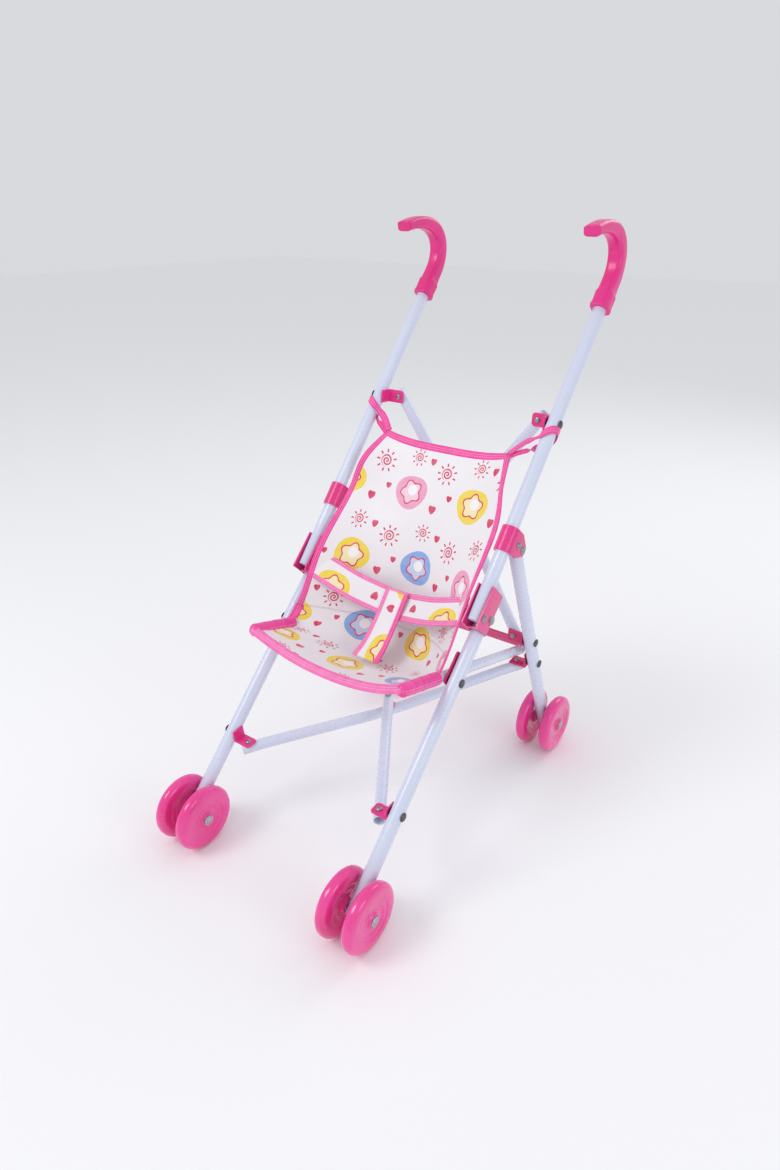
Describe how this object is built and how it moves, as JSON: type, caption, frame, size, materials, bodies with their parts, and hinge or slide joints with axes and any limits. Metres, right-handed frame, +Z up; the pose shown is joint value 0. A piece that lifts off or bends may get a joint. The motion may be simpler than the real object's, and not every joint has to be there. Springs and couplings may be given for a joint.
{
  "type": "doll stroller",
  "caption": "Folding toy stroller with a crossed tube frame, hooked grips, double wheels and a fabric sling seat with a belt.",
  "frame": {"origin": "centre of the bounding box in X and Y, on the floor under the wheels", "axes": "+Z up, -Y the way the stroller faces, +X its left side"},
  "size_m": [0.248, 0.4472, 0.5534],
  "materials": {
    "white_frame": "gloss white powder coat",
    "pink_fitting": "moulded, glossy",
    "pink_grip": "moulded, satin gloss",
    "pink_wheel": "moulded, glossy, slightly translucent",
    "steel_fastener": "plain steel",
    "printed_fabric": "white satin weave with a printed pattern",
    "pink_binding": "pink woven tape"
  },
  "bodies": {
    "left_handle": {"handle_tube_left": "white_frame", "grip_left": "pink_grip", "grip_screw_left": "steel_fastener", "knee_pivot_left": "steel_fastener", "strap_loop_left": "pink_binding", "seat_sling": "printed_fabric", "waist_belt": "printed_fabric", "crotch_strap": "printed_fabric"},
    "right_handle": {"handle_tube_right": "white_frame", "grip_right": "pink_grip", "grip_screw_right": "steel_fastener", "knee_pivot_right": "steel_fastener", "strap_loop_right": "pink_binding"},
    "left_collar": {"collar_left": "pink_fitting", "collar_pivot_left": "steel_fastener"},
    "left_rear_leg": {"rear_leg_left": "white_frame", "rear_axle_left": "steel_fastener"},
    "left_front_leg": {"knee_bracket_left": "pink_fitting", "front_leg_left": "white_frame", "rail_clip_left": "pink_fitting", "front_axle_left": "steel_fastener"},
    "left_seat_rail": {"seat_rail_left": "white_frame"},
    "left_upper_bracket": {"upper_bracket_left": "pink_fitting"},
    "left_back_cross": {"back_cross_tube_left": "white_frame", "back_cross_bolt": "steel_fastener", "back_cross_spacer": "pink_fitting"},
    "left_front_bracket": {"front_bracket_left": "pink_fitting"},
    "left_base_cross": {"base_cross_tube_left": "white_frame", "base_cross_bolt": "steel_fastener", "base_cross_spacer": "pink_fitting"},
    "left_rear_upper_bracket": {"rear_upper_bracket_left": "pink_fitting"},
    "left_rear_lower_bracket": {"rear_lower_bracket_left": "pink_fitting"},
    "left_brace": {"brace_half_left": "pink_fitting", "brace_rivet": "steel_fastener"},
    "front_wheel_left_outer": {"front_wheel_left_outer": "pink_wheel"},
    "front_wheel_left_inner": {"front_wheel_left_inner": "pink_wheel"},
    "rear_wheel_left_outer": {"rear_wheel_left_outer": "pink_wheel"},
    "rear_wheel_left_inner": {"rear_wheel_left_inner": "pink_wheel"},
    "right_collar": {"collar_right": "pink_fitting", "collar_pivot_right": "steel_fastener"},
    "right_rear_leg": {"rear_leg_right": "white_frame", "rear_axle_right": "steel_fastener"},
    "right_front_leg": {"knee_bracket_right": "pink_fitting", "front_leg_right": "white_frame", "rail_clip_right": "pink_fitting", "front_axle_right": "steel_fastener"},
    "right_seat_rail": {"seat_rail_right": "white_frame"},
    "right_upper_bracket": {"upper_bracket_right": "pink_fitting"},
    "right_back_cross": {"back_cross_tube_right": "white_frame"},
    "right_front_bracket": {"front_bracket_right": "pink_fitting"},
    "right_base_cross": {"base_cross_tube_right": "white_frame"},
    "right_rear_upper_bracket": {"rear_upper_bracket_right": "pink_fitting"},
    "right_rear_lower_bracket": {"rear_lower_bracket_right": "pink_fitting"},
    "right_brace": {"brace_half_right": "pink_fitting"},
    "front_wheel_right_outer": {"front_wheel_right_outer": "pink_wheel"},
    "front_wheel_right_inner": {"front_wheel_right_inner": "pink_wheel"},
    "rear_wheel_right_outer": {"rear_wheel_right_outer": "pink_wheel"},
    "rear_wheel_right_inner": {"rear_wheel_right_inner": "pink_wheel"}
  },
  "joints": [
    {"name": "fold", "type": "slide", "parent": "left_handle", "child": "right_handle", "axis": [1, 0, 0], "range_m": [0, 0.142], "deforming": ["seat_sling", "waist_belt", "crotch_strap", "strap_loop_left", "strap_loop_right"]},
    {"name": "left_collar_slide", "type": "slide", "parent": "left_handle", "child": "left_collar", "axis": [0, -0.6428, -0.766], "range_m": [0, 0.0269]},
    {"name": "left_rear_leg_fold", "type": "hinge", "parent": "left_collar", "child": "left_rear_leg", "pos_m": [0.101, 0.05027, 0.27915], "axis": [-1, 0, 0], "range_deg": [0, 63.16]},
    {"name": "left_front_leg_fold", "type": "hinge", "parent": "left_handle", "child": "left_front_leg", "pos_m": [0.101, -0.0138, 0.235], "axis": [-1, 0, 0], "range_deg": [0, 143.7]},
    {"name": "left_rail_turn", "type": "hinge", "parent": "left_front_leg", "child": "left_seat_rail", "pos_m": [0.101, -0.04436, 0.18235], "axis": [1, 0, 0], "range_deg": [0, 52.73]},
    {"name": "left_upper_bracket_turn", "type": "hinge", "parent": "left_handle", "child": "left_upper_bracket", "pos_m": [0.101, 0.11026, 0.38285], "axis": [-1, 0, 0], "range_deg": [0, 33.23]},
    {"name": "left_back_cross_turn", "type": "hinge", "parent": "left_upper_bracket", "child": "left_back_cross", "pos_m": [0.081, 0.12422, 0.38179], "axis": [0, -0.9971, 0.0757], "range_deg": [0, 31.57]},
    {"name": "left_front_bracket_turn", "type": "hinge", "parent": "left_front_leg", "child": "left_front_bracket", "pos_m": [0.101, -0.13217, 0.09269], "axis": [1, 0, 0], "range_deg": [0, 31.66]},
    {"name": "left_base_cross_turn", "type": "hinge", "parent": "left_front_bracket", "child": "left_base_cross", "pos_m": [0.081, -0.13046, 0.0803], "axis": [0, 0.1367, -0.9906], "range_deg": [0, 29.34]},
    {"name": "left_rear_upper_bracket_turn", "type": "hinge", "parent": "left_rear_leg", "child": "left_rear_upper_bracket", "pos_m": [0.101, 0.10017, 0.15748], "axis": [1, 0, 0], "range_deg": [0, 29.93]},
    {"name": "left_rear_lower_bracket_turn", "type": "hinge", "parent": "left_rear_leg", "child": "left_rear_lower_bracket", "pos_m": [0.101, 0.11288, 0.12649], "axis": [-1, 0, 0], "range_deg": [0, 48.88]},
    {"name": "left_brace_fold", "type": "hinge", "parent": "left_rear_lower_bracket", "child": "left_brace", "pos_m": [0.088, 0.12281, 0.13705], "axis": [0, 0.9252, 0.3795], "range_deg": [0, 78.86]},
    {"name": "front_wheel_left_outer_spin", "type": "hinge", "parent": "left_front_leg", "child": "front_wheel_left_outer", "pos_m": [0.1152, -0.1916, 0.032], "axis": [1, 0, 0], "continuous": true},
    {"name": "front_wheel_left_inner_spin", "type": "hinge", "parent": "left_front_leg", "child": "front_wheel_left_inner", "pos_m": [0.0868, -0.1916, 0.032], "axis": [1, 0, 0], "continuous": true},
    {"name": "rear_wheel_left_outer_spin", "type": "hinge", "parent": "left_rear_leg", "child": "rear_wheel_left_outer", "pos_m": [0.1152, 0.15163, 0.032], "axis": [1, 0, 0], "continuous": true},
    {"name": "rear_wheel_left_inner_spin", "type": "hinge", "parent": "left_rear_leg", "child": "rear_wheel_left_inner", "pos_m": [0.0868, 0.15163, 0.032], "axis": [1, 0, 0], "continuous": true},
    {"name": "right_collar_slide", "type": "slide", "parent": "right_handle", "child": "right_collar", "axis": [0, -0.6428, -0.766], "range_m": [0, 0.0269]},
    {"name": "right_rear_leg_fold", "type": "hinge", "parent": "right_collar", "child": "right_rear_leg", "pos_m": [-0.101, 0.05027, 0.27915], "axis": [-1, 0, 0], "range_deg": [0, 63.16]},
    {"name": "right_front_leg_fold", "type": "hinge", "parent": "right_handle", "child": "right_front_leg", "pos_m": [-0.101, -0.0138, 0.235], "axis": [-1, 0, 0], "range_deg": [0, 143.7]},
    {"name": "right_rail_turn", "type": "hinge", "parent": "right_front_leg", "child": "right_seat_rail", "pos_m": [-0.101, -0.04436, 0.18235], "axis": [1, 0, 0], "range_deg": [0, 52.73]},
    {"name": "right_upper_bracket_turn", "type": "hinge", "parent": "right_handle", "child": "right_upper_bracket", "pos_m": [-0.101, 0.11026, 0.38285], "axis": [-1, 0, 0], "range_deg": [0, 33.23]},
    {"name": "right_back_cross_turn", "type": "hinge", "parent": "right_upper_bracket", "child": "right_back_cross", "pos_m": [-0.081, 0.12422, 0.38179], "axis": [0, 0.9971, -0.0757], "range_deg": [0, 31.57]},
    {"name": "right_front_bracket_turn", "type": "hinge", "parent": "right_front_leg", "child": "right_front_bracket", "pos_m": [-0.101, -0.13217, 0.09269], "axis": [1, 0, 0], "range_deg": [0, 31.66]},
    {"name": "right_base_cross_turn", "type": "hinge", "parent": "right_front_bracket", "child": "right_base_cross", "pos_m": [-0.081, -0.13046, 0.0803], "axis": [0, -0.1367, 0.9906], "range_deg": [0, 29.34]},
    {"name": "right_rear_upper_bracket_turn", "type": "hinge", "parent": "right_rear_leg", "child": "right_rear_upper_bracket", "pos_m": [-0.101, 0.10017, 0.15748], "axis": [1, 0, 0], "range_deg": [0, 29.93]},
    {"name": "right_rear_lower_bracket_turn", "type": "hinge", "parent": "right_rear_leg", "child": "right_rear_lower_bracket", "pos_m": [-0.101, 0.11288, 0.12649], "axis": [-1, 0, 0], "range_deg": [0, 48.88]},
    {"name": "right_brace_fold", "type": "hinge", "parent": "right_rear_lower_bracket", "child": "right_brace", "pos_m": [-0.088, 0.12522, 0.13803], "axis": [0, -0.9252, -0.3795], "range_deg": [0, 78.86]},
    {"name": "front_wheel_right_outer_spin", "type": "hinge", "parent": "right_front_leg", "child": "front_wheel_right_outer", "pos_m": [-0.1152, -0.1916, 0.032], "axis": [1, 0, 0], "continuous": true},
    {"name": "front_wheel_right_inner_spin", "type": "hinge", "parent": "right_front_leg", "child": "front_wheel_right_inner", "pos_m": [-0.0868, -0.1916, 0.032], "axis": [1, 0, 0], "continuous": true},
    {"name": "rear_wheel_right_outer_spin", "type": "hinge", "parent": "right_rear_leg", "child": "rear_wheel_right_outer", "pos_m": [-0.1152, 0.15163, 0.032], "axis": [1, 0, 0], "continuous": true},
    {"name": "rear_wheel_right_inner_spin", "type": "hinge", "parent": "right_rear_leg", "child": "rear_wheel_right_inner", "pos_m": [-0.0868, 0.15163, 0.032], "axis": [1, 0, 0], "continuous": true}
  ],
  "couplings": [
    {"joint": "left_collar_slide", "follows": "fold", "ratio": 0.18942},
    {"joint": "left_rear_leg_fold", "follows": "fold", "rad_per_m": 7.762},
    {"joint": "left_front_leg_fold", "follows": "fold", "rad_per_m": 17.66},
    {"joint": "left_rail_turn", "follows": "fold", "rad_per_m": 6.4808},
    {"joint": "left_upper_bracket_turn", "follows": "fold", "rad_per_m": 4.0837},
    {"joint": "left_back_cross_turn", "follows": "fold", "rad_per_m": 3.8793},
    {"joint": "left_front_bracket_turn", "follows": "fold", "rad_per_m": 3.8907},
    {"joint": "left_base_cross_turn", "follows": "fold", "rad_per_m": 3.6061},
    {"joint": "left_rear_upper_bracket_turn", "follows": "fold", "rad_per_m": 3.6783},
    {"joint": "left_rear_lower_bracket_turn", "follows": "fold", "rad_per_m": 6.0075},
    {"joint": "left_brace_fold", "follows": "fold", "rad_per_m": 9.6919},
    {"joint": "right_collar_slide", "follows": "fold", "ratio": 0.18942},
    {"joint": "right_rear_leg_fold", "follows": "fold", "rad_per_m": 7.762},
    {"joint": "right_front_leg_fold", "follows": "fold", "rad_per_m": 17.66},
    {"joint": "right_rail_turn", "follows": "fold", "rad_per_m": 6.4808},
    {"joint": "right_upper_bracket_turn", "follows": "fold", "rad_per_m": 4.0837},
    {"joint": "right_back_cross_turn", "follows": "fold", "rad_per_m": 3.8793},
    {"joint": "right_front_bracket_turn", "follows": "fold", "rad_per_m": 3.8907},
    {"joint": "right_base_cross_turn", "follows": "fold", "rad_per_m": 3.6061},
    {"joint": "right_rear_upper_bracket_turn", "follows": "fold", "rad_per_m": 3.6783},
    {"joint": "right_rear_lower_bracket_turn", "follows": "fold", "rad_per_m": 6.0075},
    {"joint": "right_brace_fold", "follows": "fold", "rad_per_m": 9.6919}
  ]
}
